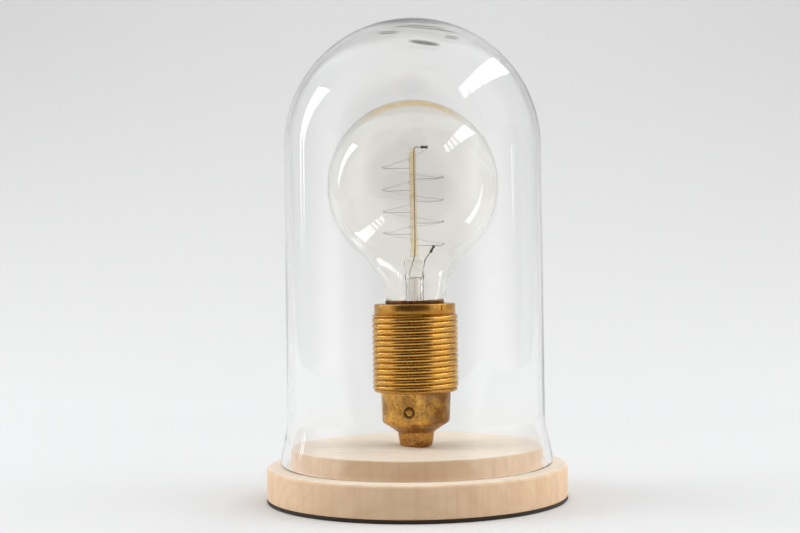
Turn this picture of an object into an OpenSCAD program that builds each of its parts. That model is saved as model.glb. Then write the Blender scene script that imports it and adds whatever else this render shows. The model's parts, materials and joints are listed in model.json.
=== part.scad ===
// Glass-dome table lamp with a globe filament bulb, in millimetres.
// The origin is the centre of the pad's underside, +Z is up and -Y is the front.

/* [Base] */
// Thickness of the pad under the base
pad_t = 1.7; // [1:0.1:3]
// Height of the wood from the pad to the ledge
ledge_h = 14.4; // [12:0.1:25]
// Width of the ledge outside the dome's rim
ledge_w = 6.6; // [2:0.1:20]
// Height of the raised centre above the ledge
step_h = 8.7; // [4:0.1:20]
// Rounding of the ledge's top edge
ledge_round = 1.6; // [0.4:0.1:3]
// Rounding of the raised centre's top edge
step_round = 0.8; // [0.2:0.1:3]
// Thickness of the wood above the wiring recess
web_t = 10.5; // [6:0.1:14]
// Radius of the wiring recess
recess_r = 24; // [18:0.5:40]
// Diameter of the cord that the inlet takes
cord_d = 6; // [5:0.1:7]

/* [Glass dome] */
// Outer diameter of the dome's straight wall
dome_d = 120; // [100:1:160]
// Thickness of the dome's glass
dome_wall = 2.5; // [1.5:0.1:4]
// How far the rim flares out beyond the wall
rim_flare = 3.4; // [0:0.1:8]
// Height over which the rim flares
flare_h = 23; // [8:1:40]
// Free height above the bulb when it is screwed right out
head_room = 19; // [5:1:60]
// Gap between the raised centre and the glass around it
locate_gap = 1.3; // [0.4:0.1:3]

/* [Lampholder] */
// Outer diameter of the thread on the skirt
skirt_d = 40.4; // [39.5:0.1:50]
// Height of the skirt
skirt_h = 41; // [38:0.5:55]
// Pitch of the thread on the skirt
skirt_pitch = 2.6; // [2:0.1:4]
// Depth of the thread on the skirt
skirt_depth = 0.85; // [0.4:0.05:1.1]
// Height of the plain band above the skirt's thread
band_h = 4.8; // [3:0.1:8]
// Wall of the skirt under its thread
skirt_wall = 1.4; // [0.8:0.1:1.8]
// Radius of the cap where it meets the skirt
cap_r = 16.4; // [16:0.1:17]
// How much narrower the cap is at its shoulder
cap_taper = 0.6; // [0:0.1:1]
// Height of the cap's side below the skirt
cap_side_h = 12.8; // [10:0.1:20]
// Height of the sloping shoulder
shoulder_h = 5.6; // [4:0.1:10]
// Height of the neck
neck_h = 6.6; // [4:0.1:12]
// Radius of the neck at its foot
neck_r = 7.5; // [7:0.1:9]
// Radius of the neck under the shoulder
neck_top_r = 8.7; // [7.5:0.1:10]
// Wall of the brass cap
cap_wall = 1.2; // [0.8:0.1:1.8]
// How far the cap reaches up inside the skirt
lap_h = 4.4; // [3:0.1:6]

/* [Bulb] */
// Diameter of the globe
bulb_d = 80; // [60:1:96]
// Thickness of the bulb's glass
bulb_wall = 0.8; // [0.5:0.1:1.2]
// Radius of the glass neck just above the cap
glass_neck_r = 13.9; // [13.4:0.1:14]
// Radius of the curve from the neck into the globe
neck_curve = 34; // [15:1:60]
// Length of the bulb's cap from its rim to its tip
bulb_cap_len = 26.5; // [25:0.1:28]
// How far the bulb's rim stands above the skirt
rim_stand = 1.5; // [0.5:0.1:4]
// Outer radius of the bulb's screw thread
screw_r = 13.1; // [13:0.05:13.2]
// Depth of the bulb's screw thread
screw_depth = 1.1; // [0.9:0.05:1.2]
// Pitch of the bulb's screw thread
screw_pitch = 3.629; // [3.6:0.001:3.7]
// Turns that the thread is engaged
screw_turns = 4.5; // [3:0.5:5]

/* [Filament mount] */
// Distance from the bulb's rim to the top of the glass press
press_top = 20.7; // [14:0.1:24]
// Height of the glass press
press_h = 9.5; // [6:0.5:12]
// Width of the glass press
press_w = 9; // [7:0.1:12]
// Length of the glass rod above the press
rod_len = 50; // [30:1:50]
// Diameter of the glass rod
rod_d = 3.3; // [2:0.1:5]
// Radius that the filament runs at
filament_r = 14; // [8:0.5:18]
// Rise of the filament in one turn around the rod
filament_pitch = 10.3; // [6:0.1:12]
// Number of hooks that hold the filament
hook_count = 16; // [8:1:18]

/* [Fits] */
// Gap between the dome and the ledge it stands on
seat_gap = 0.2; // [0.1:0.05:0.4]
// Gap all round a plain pin or screw in its hole
pin_gap = 0.08; // [0.05:0.01:0.2]
// Gap all round the bulb's thread in the liner
screw_gap = 0.3; // [0.2:0.05:0.35]
// Gap around a loose inner piece
loose_gap = 0.4; // [0.2:0.05:0.5]
// Gap between two pieces that only just clear each other
hair = 0.1; // [0.05:0.01:0.2]

/* [Hidden] */
$fn = 96;
eps = 0.5;
// Gap between two pieces that are fixed together
film = 0.03;
nipple_d = 10;
wire_way_r = 3.6;

// Base, from the floor up
ledge_z = pad_t + ledge_h;
step_z = ledge_z + step_h;
recess_z = step_z - web_t;
dome_r = dome_d / 2;
rim_r = dome_r + rim_flare;
rim_z = ledge_z + seat_gap;
base_r = rim_r + ledge_w;
step_r = dome_r + flare_at(step_h) - dome_wall - locate_gap;

// Nipple and its nut under the wood
nipple_r = nipple_d / 2;
washer_t = 1.2;
washer_r = 10;
nut_h = 4;
nut_flats = 14;
nipple_tail = 2.5;
nipple_grip = neck_h + 1.4;
nipple_z = recess_z - washer_t - nut_h - nipple_tail;

// Cord inlet in the back of the base
inlet_z = pad_t + (recess_z - pad_t) / 2;
bush_bore_r = cord_d / 2 + hair;
bush_wall = 1.1;
bush_lip = 1.3;
bush_lip_t = 1.8;
bush_r = bush_bore_r + bush_wall;
bush_tail = 2.5;
bush_end_y = sqrt(pow(base_r, 2) - pow(bush_r + bush_lip + hair, 2));

// Lampholder, from the wood up
shoulder_z = step_z + neck_h;
side_z = shoulder_z + shoulder_h;
skirt_z = side_z + cap_side_h;
cap_top_z = skirt_z + lap_h;
skirt_top_z = skirt_z + skirt_h;
skirt_r = skirt_d / 2;
bore_r = skirt_r - skirt_depth - skirt_wall;
lip_t = 1;
side_r = cap_r - cap_taper;
chamber_z = shoulder_z + cap_wall + hair;
chamber_top_z = side_z + cap_wall;
chamber_r = side_r - cap_wall;
side_screw_z = side_z + 4.2;
side_screw_angle = -101.5;
side_screw_r = 1.3;
boss_r = 2.5;
boss_stand = 0.5;

// Bulb and the socket around its cap
bulb_r = bulb_d / 2;
cap_rim_z = skirt_top_z + rim_stand;
tip_z = cap_rim_z - bulb_cap_len;
thread_h = screw_turns * screw_pitch;
thread_z = tip_z + 3.8;
thread_top_z = thread_z + thread_h;
screw_root_r = screw_r - screw_depth;
shell_bore_r = screw_root_r - 0.45;
rim_cap_r = screw_r + 0.8;
cap_sheet = 0.45;
neck_curve_z = cap_rim_z - 2.7;
bulb_z = neck_curve_z + sqrt(pow(bulb_r + neck_curve, 2) - pow(glass_neck_r + neck_curve, 2));
bulb_top_z = bulb_z + bulb_r;
neck_end_z = thread_top_z - 2;
neck_end_r = shell_bore_r - hair - 0.4;

liner_r = screw_r + screw_gap;
liner_out_r = liner_r + 0.5;
liner_z = thread_z - 2.6;
liner_top_z = thread_top_z + 0.4;
liner_lip_r = 9.4;
socket_r = liner_out_r + hair + 0.15;
well_r = 8.6;
floor_z = tip_z - 4.8;
core_r = bore_r - 1;
ring_z = skirt_top_z - lip_t - 5.7;
ring_bore_r = rim_cap_r + loose_gap;

// Core inside the brass cap, with its terminals
plug_r = chamber_r - 0.6;
plug_z = chamber_top_z - 0.2;
block = [6, 6, 7];
block_x = 5.3;
block_z = plug_z + 1.2;
pocket_gap = 0.3;
post_r = 1.1;
live_x = 7.2;
neutral_x = -9.9;
foot = [3, 5, 0.5];
terminal_screw_r = 1.3;
terminal_head_r = 2;
terminal_head_t = 1.4;

// Spring tongue under the bulb's tip
tongue_x = 5.6;
tongue_t = 0.5;
tongue_w = 5;
tongue_z = floor_z + foot[2] + hair;

// Dome, whose height follows the bulb inside it
dome_top_z = bulb_top_z + thread_h + head_room + dome_wall;
dome_z = dome_top_z - dome_r;

// Filament mount
press_z = cap_rim_z + press_top;
press_foot_z = press_z - press_h;
press_t = 4.2;
stem_r = 4.2;
stem_wall = 1;
pump_r = 1.6;
pump_end_z = tip_z + 8;
rod_r = rod_d / 2;
rod_top_z = press_z + rod_len;
hook_wire_r = 0.16;
hook_r = filament_r - 0.45;
hook_z = press_z + 5;
hook_rise = filament_pitch / 4;
hook_turn = -8;
lead_r = 0.3;
lead_turn = -72;
clamp_r = 0.65;
filament_wire_r = 0.18;
filament_end_z = hook_z + (hook_count - 1) * hook_rise;
top_clamp = [8.2, 0, rod_top_z + 0.8];
low_clamp = [8.6, 0, press_z + 3.4];

// Share of the way from 0 to 1, with no slope at either end
function ease(t) = t * t * (3 - 2 * t);

// How far the dome's wall stands out at a height above its rim
function flare_at(h) = h >= flare_h ? 0 : rim_flare * (1 - ease(h / flare_h));

// Points along an arc
function arc(centre, r, from, to, steps) =
    [for (i = [0:steps]) let (a = from + (to - from) * i / steps)
        centre + r * [cos(a), sin(a)]];

// How full a thread is at a height: it runs out over one turn at each end
function thread_fill(z, low, high, run) = max(0, min(1, (z - low) / run, (high - z) / run));

// Points evenly spread between two values
function spread(from, to, steps) = [for (i = [0:steps]) from + (to - from) * i / steps];

// A disc whose top edge is rounded
module rounded_disc(r, h, round) {
    rotate_extrude() {
        square([r - round, h]);
        square([r, h - round]);
        translate([r - round, h - round]) circle(round);
    }
}

// A tube between two radii
module tube(r, bore, h) {
    difference() {
        cylinder(r = r, h = h);
        translate([0, 0, -eps]) cylinder(r = bore, h = h + 2 * eps);
    }
}

// A closed turned skin with right-hand threads. Each row is [radius, height, wave]:
// the wave is how far the thread moves the radius there, crest to root.
module threaded_skin(rows, pitch, columns) {
    m = len(rows);
    points = [for (row = rows) for (j = [0:columns - 1])
        let (a = 360 * j / columns,
             r = row[0] + row[2] * (cos(360 * row[1] / pitch - a) - 1) / 2)
        [r * cos(a), r * sin(a), row[1]]];
    faces = [for (i = [0:m - 1]) for (j = [0:columns - 1])
        let (a = i * columns, b = ((i + 1) % m) * columns, k = (j + 1) % columns)
        each [[a + j, b + j, b + k], [a + j, b + k, a + k]]];
    polyhedron(points, faces);
}

// A round wire along points, with flat ends
module wire(path, r, sides) {
    n = len(path);
    points = [for (i = [0:n - 1])
        let (back = path[max(i - 1, 0)], ahead = path[min(i + 1, n - 1)],
             t = (ahead - back) / norm(ahead - back),
             u = abs(t[2]) < 0.9 ? cross(t, [0, 0, 1]) : cross(t, [0, 1, 0]),
             side = u / norm(u), up = cross(side, t))
        for (j = [0:sides - 1])
            path[i] + r * (cos(360 * j / sides) * side + sin(360 * j / sides) * up)];
    walls = [for (i = [0:n - 2]) for (j = [0:sides - 1])
        let (a = i * sides, b = a + sides, k = (j + 1) % sides)
        each [[a + j, b + k, b + j], [a + j, a + k, b + k]]];
    first = [for (j = [0:sides - 1]) sides - 1 - j];
    last = [for (j = [0:sides - 1]) (n - 1) * sides + j];
    polyhedron(points, concat(walls, [first, last]));
}

// Things placed out along a direction around the axis
module outwards(angle, z) {
    rotate([0, 0, angle]) translate([0, 0, z]) rotate([0, 90, 0]) children();
}

module base_pad() {
    color([0.13, 0.11, 0.1]) cylinder(r = base_r, h = pad_t);
}

module wood_base() {
    color([0.86, 0.76, 0.64]) difference() {
        union() {
            translate([0, 0, pad_t]) rounded_disc(base_r, ledge_h, ledge_round);
            translate([0, 0, pad_t]) rounded_disc(step_r, ledge_h + step_h, step_round);
        }
        translate([0, 0, pad_t - eps]) cylinder(r = recess_r, h = recess_z - pad_t + eps);
        cylinder(r = nipple_r + pin_gap, h = step_z + eps);
        outwards(90, inlet_z) cylinder(r = bush_r + pin_gap, h = base_r + eps);
        outwards(90, inlet_z) translate([0, 0, bush_end_y - bush_lip_t - hair])
            cylinder(r = bush_r + bush_lip + pin_gap, h = base_r);
    }
}

module threaded_nipple() {
    color([0.75, 0.75, 0.77]) translate([0, 0, nipple_z])
        tube(nipple_r, wire_way_r, step_z + nipple_grip - nipple_z);
}

module nipple_washer() {
    color([0.72, 0.72, 0.74]) translate([0, 0, recess_z - washer_t])
        tube(washer_r, nipple_r + pin_gap, washer_t);
}

module nipple_nut() {
    color([0.8, 0.68, 0.4]) translate([0, 0, recess_z - washer_t - nut_h]) difference() {
        cylinder(r = nut_flats / sqrt(3), h = nut_h, $fn = 6);
        translate([0, 0, -eps]) cylinder(r = nipple_r + pin_gap, h = nut_h + 2 * eps);
    }
}

// Rubber bush in the cord hole, with a lip that sinks into the wood
module cord_grommet() {
    start = recess_r - bush_tail;
    color([0.1, 0.1, 0.1]) outwards(90, inlet_z) difference() {
        union() {
            translate([0, 0, start]) cylinder(r = bush_r, h = bush_end_y - start);
            translate([0, 0, bush_end_y - bush_lip_t])
                cylinder(r = bush_r + bush_lip, h = bush_lip_t);
        }
        translate([0, 0, start - eps]) cylinder(r = bush_bore_r, h = base_r);
    }
}

// Half outline of the cap's outside, from its foot to its top
function cap_outline() = concat(
    [[0, step_z], [neck_r - 0.5, step_z], [neck_r, step_z + 0.5]],
    [[neck_top_r - 0.3, shoulder_z - 1.2]],
    arc([neck_top_r + 1.4, shoulder_z - 1.2], 1.7, 180, 125, 4),
    arc([side_r - 2.2, side_z], 2.2, -50, 0, 5),
    [[cap_r, skirt_z - hair], [cap_r, cap_top_z], [0, cap_top_z]]
);

module holder_cap() {
    color([0.72, 0.5, 0.2]) difference() {
        union() {
            rotate_extrude() polygon(cap_outline());
            outwards(side_screw_angle, side_screw_z)
                cylinder(r = boss_r, h = side_r + boss_stand);
        }
        translate([0, 0, step_z - eps]) cylinder(r = nipple_r + pin_gap, h = skirt_h);
        translate([0, 0, chamber_z]) cylinder(
            r1 = nipple_r + pin_gap, r2 = chamber_r, h = chamber_top_z - chamber_z);
        translate([0, 0, chamber_top_z - hair / 2])
            cylinder(r = chamber_r, h = cap_top_z - chamber_top_z + eps);
        outwards(side_screw_angle, side_screw_z)
            cylinder(r = side_screw_r + pin_gap, h = cap_r + 2 * boss_stand);
    }
}

// Slotted screw that keeps the core in the cap
module cap_side_screw() {
    color([0.45, 0.36, 0.2]) outwards(side_screw_angle, side_screw_z) difference() {
        translate([0, 0, plug_r - 2]) cylinder(r = side_screw_r, h = side_r - plug_r + 2);
        translate([-0.25, -boss_r, side_r - 0.6]) cube([0.5, 2 * boss_r, 1]);
    }
}

// The pocket for one terminal, open below and outwards
module terminal_pocket() {
    translate([block_x - pocket_gap, -block[1] / 2 - pocket_gap, plug_z - eps])
        cube([plug_r, block[1] + 2 * pocket_gap, block_z + block[2] + pocket_gap - plug_z + eps]);
}

module holder_core() {
    color([0.92, 0.9, 0.85]) difference() {
        union() {
            translate([0, 0, plug_z]) cylinder(r = plug_r, h = floor_z - plug_z);
            translate([0, 0, cap_top_z]) cylinder(r = bore_r - 0.5, h = 3);
            translate([0, 0, cap_top_z]) cylinder(r = core_r, h = ring_z - cap_top_z);
        }
        translate([0, 0, liner_z - cap_sheet])
            cylinder(r = socket_r, h = ring_z - liner_z + cap_sheet + eps);
        translate([0, 0, floor_z]) cylinder(r = well_r, h = liner_z - floor_z);
        terminal_pocket();
        mirror([1, 0, 0]) terminal_pocket();
        translate([live_x, 0, plug_z]) cylinder(r = post_r + pin_gap, h = floor_z - plug_z + eps);
        translate([neutral_x, 0, plug_z])
            cylinder(r = post_r + pin_gap, h = liner_z - plug_z);
        outwards(side_screw_angle, side_screw_z) translate([0, 0, plug_r - 2.2])
            cylinder(r = side_screw_r + pin_gap, h = plug_r);
    }
}

// A brass block with a hole for the wire and a tapped hole for its screw
module terminal_block() {
    difference() {
        translate([block_x, -block[1] / 2, block_z]) cube(block);
        translate([block_x + 1.7, 0, block_z - eps]) cylinder(r = 1.4, h = block[2] - 1);
        translate([block_x + 3, 0, block_z + 3])
            rotate([0, 90, 0]) cylinder(r = terminal_screw_r + pin_gap, h = block[0]);
    }
}

module live_terminal() {
    post_z = block_z + block[2];
    color([0.82, 0.68, 0.36]) {
        terminal_block();
        translate([live_x, 0, post_z]) cylinder(r = post_r, h = floor_z - post_z);
        translate([tongue_x + hair, -foot[1] / 2, floor_z]) cube([foot[0] - 1, foot[1], foot[2]]);
    }
}

module neutral_terminal() {
    post_z = block_z + block[2];
    color([0.82, 0.68, 0.36]) {
        mirror([1, 0, 0]) terminal_block();
        translate([neutral_x, 0, post_z])
            cylinder(r = post_r, h = liner_z - cap_sheet - post_z);
    }
}

module terminal_screws() {
    color([0.7, 0.7, 0.72]) for (side = [0, 180]) outwards(side, block_z + 3) {
        translate([0, 0, block_x + 3.2]) cylinder(r = terminal_screw_r, h = block[0] - 3.2);
        translate([0, 0, block_x + block[0]]) difference() {
            cylinder(r = terminal_head_r, h = terminal_head_t);
            translate([-0.3, -terminal_head_r, terminal_head_t - 0.6])
                cube([0.6, 2 * terminal_head_r, 1]);
        }
    }
}

// Bent strip whose free end presses on the bulb's tip
module centre_contact() {
    top = tip_z - 0.15;
    rise = top - tongue_t - tongue_z;
    under = [[tongue_x, tongue_z], [tongue_x - 1.2, tongue_z], [1.2, tongue_z + rise],
        [-1.2, tongue_z + rise], [-3.4, tongue_z + rise - 1]];
    over = [for (i = [len(under) - 1:-1:0]) under[i] + [0, tongue_t]];
    color([0.85, 0.6, 0.35]) translate([0, tongue_w / 2, 0]) rotate([90, 0, 0])
        linear_extrude(tongue_w) polygon(concat(under, over));
}

// Liner that the bulb screws into, with a turned-in foot
module screw_shell() {
    threads = [for (z = spread(liner_z + 1, liner_top_z, round(screw_turns) * 6))
        [liner_r, z, screw_depth * thread_fill(z, liner_z + 1, liner_top_z, screw_pitch / 2)]];
    rows = concat(
        [[liner_lip_r, liner_z - cap_sheet + film, 0]],
        [[liner_lip_r, liner_z, 0], [liner_r - 0.4, liner_z, 0], [liner_r, liner_z + 0.4, 0]],
        threads, [[liner_out_r, liner_top_z, 0], [liner_out_r, liner_z - cap_sheet + film, 0]]
    );
    color([0.78, 0.66, 0.38])
        threaded_skin([for (i = [len(rows) - 1:-1:0]) rows[i]], screw_pitch, 36);
}

module insulating_ring() {
    color([0.92, 0.9, 0.85]) translate([0, 0, ring_z])
        tube(bore_r - 0.3, ring_bore_r, skirt_top_z - lip_t - ring_z);
}

// Brass skirt with the long outside thread
module holder_shell() {
    low = skirt_z + 2;
    high = skirt_top_z - band_h;
    band_r = skirt_r - skirt_depth - 0.25;
    turns = (high - low) / skirt_pitch;
    threads = [for (z = spread(low, high, round(turns * 4)))
        [skirt_r, z, skirt_depth]];
    rows = concat(
        [[band_r - 1, skirt_z, 0], [skirt_r - 0.5, skirt_z + 0.6, 0]],
        [[skirt_r - 0.5, skirt_z + 1.3, 0], [skirt_r - skirt_depth, low - 0.2, 0]], threads,
        [[band_r, high + 0.5, 0], [band_r, skirt_top_z - 0.5, 0]],
        [[band_r - 0.5, skirt_top_z, 0], [ring_bore_r + 1, skirt_top_z, 0]],
        [[ring_bore_r + 1, skirt_top_z - lip_t, 0], [bore_r, skirt_top_z - lip_t, 0]],
        [[bore_r, cap_top_z, 0], [cap_r + hair, cap_top_z, 0], [cap_r + hair, skirt_z, 0]]
    );
    color([0.76, 0.58, 0.24]) threaded_skin(rows, skirt_pitch, 40);
}

// Screw cap of the bulb, rolled from thin brass
module bulb_cap() {
    threads = [for (z = spread(thread_z, thread_top_z, round(screw_turns) * 6))
        let (fill = thread_fill(z, thread_z, thread_top_z, screw_pitch / 2))
        [screw_root_r + screw_depth * fill, z, screw_depth * fill]];
    rows = concat(
        [[screw_root_r - 0.3, thread_z - 0.4, 0]], threads,
        [[screw_r, thread_top_z + 1, 0], [screw_r + 0.1, cap_rim_z - 2.8, 0]],
        [[rim_cap_r, cap_rim_z - 0.5, 0], [rim_cap_r, cap_rim_z, 0]],
        [[rim_cap_r - cap_sheet, cap_rim_z, 0], [screw_r + 0.1 - cap_sheet, cap_rim_z - 2.8, 0]],
        [[screw_r - cap_sheet, thread_top_z + 1, 0], [shell_bore_r, thread_top_z, 0]],
        [[shell_bore_r, thread_z - 0.4, 0]]
    );
    color([0.78, 0.62, 0.3]) threaded_skin(rows, screw_pitch, 36);
}

// Black glass that holds the tip in the cap's open end
module cap_insulator() {
    outer_r = shell_bore_r - hair;
    color([0.06, 0.06, 0.07]) rotate_extrude() polygon([
        [3.2, tip_z + 0.75], [5.6, tip_z + 0.75], [screw_root_r - 0.3, thread_z - 0.5],
        [outer_r, thread_z - 0.4], [outer_r, thread_z + 1], [3.2, tip_z + 2.6]
    ]);
}

module tip_contact() {
    color([0.72, 0.72, 0.7]) rotate_extrude() polygon([
        [0, tip_z], [3.6, tip_z], [4.8, tip_z + 0.35], [4.8, tip_z + 0.65],
        [3.1, tip_z + 0.65], [3.1, tip_z + 2], [0, tip_z + 2]
    ]);
}

module capping_cement() {
    color([0.85, 0.82, 0.74]) translate([0, 0, neck_end_z])
        tube(shell_bore_r - hair, neck_end_r + film, thread_top_z - neck_end_z - 0.2);
}

// Half outline of the bulb's neck, shrunk by the given amount
function neck_outline(shrink) =
    let (reach = neck_curve + glass_neck_r,
         meet = atan2(bulb_z - neck_curve_z, reach),
         start = asin((cap_rim_z + 1.2 - neck_curve_z) / neck_curve))
    concat(
        [[0, neck_end_z], [neck_end_r - shrink, neck_end_z]],
        [[neck_end_r - shrink, thread_top_z + 0.5], [screw_r - 0.9 - shrink, cap_rim_z - 2.6]],
        [[screw_r - 0.1 - shrink, cap_rim_z - 0.4]],
        arc([reach, neck_curve_z], neck_curve + shrink, 180 - start, 180 - meet, 12),
        [[0, bulb_z]]
    );

// The bulb as a solid, shrunk by the given amount
module bulb_body(shrink) {
    rotate_extrude() {
        polygon(neck_outline(shrink));
        intersection() {
            translate([0, bulb_z]) circle(r = bulb_r - shrink);
            translate([0, bulb_z - bulb_d]) square(2 * bulb_d);
        }
    }
}

module bulb_glass() {
    color([0.95, 0.9, 0.78, 0.3]) difference() {
        bulb_body(0);
        bulb_body(bulb_wall);
        translate([0, 0, neck_end_z - eps])
            cylinder(r = neck_end_r - bulb_wall, h = 2 * eps);
    }
}

// Stem tube with its flared foot and the flattened press on top
module stem_flare() {
    foot_r = neck_end_r - bulb_wall - hair;
    waist_z = press_foot_z - 3;
    color([0.9, 0.92, 0.9, 0.4]) {
        difference() {
            union() {
                translate([0, 0, neck_end_z])
                    cylinder(r1 = foot_r, r2 = stem_r, h = 5);
                translate([0, 0, neck_end_z]) cylinder(r = stem_r, h = waist_z - neck_end_z);
            }
            translate([0, 0, neck_end_z - eps]) cylinder(r = foot_r - 1.2, h = 1);
            translate([0, 0, neck_end_z + 0.4])
                cylinder(r1 = foot_r - 1.2, r2 = stem_r - stem_wall, h = 4);
            translate([0, 0, neck_end_z])
                cylinder(r = stem_r - stem_wall, h = waist_z - neck_end_z + eps);
        }
        hull() {
            translate([0, 0, waist_z]) cylinder(r = stem_r, h = 0.5, $fn = 32);
            translate([0, 0, press_foot_z + 1]) scale([press_w, press_t, 1])
                cylinder(d = 1, h = press_h - 2, $fn = 32);
            translate([0, 0, press_z - 0.5]) scale([press_w - 1, press_t - 1, 1])
                cylinder(d = 1, h = 0.5, $fn = 32);
        }
    }
}

module exhaust_tube() {
    color([0.9, 0.92, 0.9, 0.4]) {
        translate([0, 0, pump_end_z])
            tube(pump_r, pump_r - 0.6, press_foot_z - 3 - pump_end_z);
        translate([0, 0, pump_end_z]) sphere(r = pump_r);
    }
}

module glass_rod() {
    color([0.8, 0.6, 0.3, 0.7]) {
        translate([0, 0, press_z]) cylinder(r = rod_r, h = rod_len - rod_r);
        translate([0, 0, rod_top_z - rod_r]) sphere(r = rod_r);
    }
}

module support_hooks() {
    color([0.45, 0.45, 0.45]) for (k = [0:hook_count - 1])
        rotate([0, 0, hook_turn + 90 * k]) translate([0, 0, hook_z + k * hook_rise])
            wire([[rod_r + film, 0, 0], [hook_r - 1.2, 0, 0.1], [hook_r - 0.4, 0, 0.7],
                [hook_r, 0, 0.3]], hook_wire_r, 6);
}

// The filament's way from the low clamp round the hooks to the high one
function filament_path() =
    let (turns = (hook_count - 1) / 4, steps = round(turns * 16),
         low = low_clamp + [clamp_r + 0.4, 0, 0.6],
         high = top_clamp + [clamp_r + 0.4, 0, -0.6])
    concat([low], [for (i = [0:steps])
        let (a = hook_turn + 360 * turns * i / steps)
        [filament_r * cos(a), filament_r * sin(a),
            hook_z + 0.4 + (filament_end_z - hook_z) * i / steps]],
        [[filament_r * cos(hook_turn + 360 * turns + 45) * 0.8,
            filament_r * sin(hook_turn + 360 * turns + 45) * 0.8, high[2] - 1.5]],
        [high]);

module filament() {
    color([0.35, 0.33, 0.32]) wire(filament_path(), filament_wire_r, 6);
}

module long_lead_wire() {
    r = rod_r + lead_r + hair;
    x = r * cos(lead_turn);
    y = r * sin(lead_turn);
    color([0.5, 0.45, 0.4]) wire([[x, y, press_z + hair], [x, y, rod_top_z - 1],
        [x + 0.3, y + 0.5, rod_top_z + 0.5], [x + 1.4, y + 1.5, top_clamp[2]],
        top_clamp - [1.6, 0, 0]], lead_r, 8);
}

module short_lead_wire() {
    x = press_w / 2;
    color([0.3, 0.25, 0.2]) wire([[x + lead_r - 0.1 + hair, 0, press_z - 5],
        [x + 0.8, 0, press_z - 1.6],
        low_clamp - [1.1, 0, 1.7]], lead_r, 8);
}

module filament_clamps() {
    color([0.2, 0.18, 0.17]) {
        translate(top_clamp - [1.5, 0, 0]) rotate([0, 90, 0]) cylinder(r = clamp_r, h = 2);
        translate(low_clamp) rotate([0, 33, 0]) translate([0, 0, -1.9])
            cylinder(r = clamp_r, h = 2.4);
    }
}

// Half section of the dome as a solid, shrunk by the given amount
module dome_section(shrink) {
    start = rim_z + dome_wall / 2;
    intersection() {
        translate([0, dome_z]) circle(r = dome_r - shrink);
        translate([0, dome_z]) square(dome_d);
    }
    translate([0, rim_z + flare_h - hair])
        square([dome_r - shrink, dome_z - rim_z - flare_h + 2 * hair]);
    polygon(concat([[0, start]],
        [for (h = spread(dome_wall / 2, flare_h, 14))
            [dome_r + flare_at(h) - shrink, rim_z + h]],
        [[0, rim_z + flare_h]]));
}

module glass_dome() {
    rim = dome_wall / 2;
    color([0.93, 0.95, 0.95, 0.25]) rotate_extrude() {
        difference() {
            dome_section(0);
            dome_section(dome_wall);
        }
        translate([rim_r - rim - (rim_flare - flare_at(rim)) / 2, rim_z + rim]) circle(rim);
    }
}

base_pad();
wood_base();
threaded_nipple();
nipple_washer();
nipple_nut();
cord_grommet();
holder_cap();
cap_side_screw();
holder_core();
live_terminal();
neutral_terminal();
terminal_screws();
centre_contact();
screw_shell();
insulating_ring();
holder_shell();
bulb_cap();
cap_insulator();
tip_contact();
capping_cement();
bulb_glass();
stem_flare();
exhaust_tube();
glass_rod();
support_hooks();
filament();
long_lead_wire();
short_lead_wire();
filament_clamps();
glass_dome();
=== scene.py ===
# %% [markdown]
# # A glass-dome table lamp with a filament bulb
#
# The lamp is a pale turned wooden base with a dark felt pad, a brass lampholder in the middle,
# a clear 80 mm globe bulb with a spiral filament, and a clear glass dome that lifts off. The
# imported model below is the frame: it holds every size and every moving body. The pieces made
# here give it its looks, and each one rides on a body of that frame.

# %% Loading the frame
import json
import math
import bpy
from mathutils import Matrix, Vector


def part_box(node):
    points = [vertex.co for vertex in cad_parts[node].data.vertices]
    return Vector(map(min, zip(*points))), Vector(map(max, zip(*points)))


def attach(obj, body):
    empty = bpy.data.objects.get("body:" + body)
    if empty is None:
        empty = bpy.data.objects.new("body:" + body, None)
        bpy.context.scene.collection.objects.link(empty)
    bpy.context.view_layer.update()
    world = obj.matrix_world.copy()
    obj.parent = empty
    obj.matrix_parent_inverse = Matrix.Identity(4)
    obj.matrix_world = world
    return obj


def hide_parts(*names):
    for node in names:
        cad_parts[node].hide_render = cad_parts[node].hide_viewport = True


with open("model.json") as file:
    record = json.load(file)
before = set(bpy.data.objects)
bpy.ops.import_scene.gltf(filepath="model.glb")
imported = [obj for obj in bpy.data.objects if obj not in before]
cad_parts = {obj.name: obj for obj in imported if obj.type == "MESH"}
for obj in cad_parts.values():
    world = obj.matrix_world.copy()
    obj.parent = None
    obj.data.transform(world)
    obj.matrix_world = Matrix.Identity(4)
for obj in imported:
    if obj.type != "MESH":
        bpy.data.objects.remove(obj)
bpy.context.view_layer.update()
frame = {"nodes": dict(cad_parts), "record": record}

MM = 0.001

# %% [markdown]
# ## Measures taken from the frame
#
# Lengths are in millimetres along the lamp's axis, as a turner would write them down. The
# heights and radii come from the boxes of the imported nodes, so the pieces land exactly where
# the frame has them. A few measures that no box shows, such as the dome's wall and the free
# space round the raised centre, are named beside them, and a hairline keeps two pieces that
# lie on each other from sharing a face.

# %% Heights and radii


def low(node):
    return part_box(node)[0] / MM


def high(node):
    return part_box(node)[1] / MM


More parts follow.
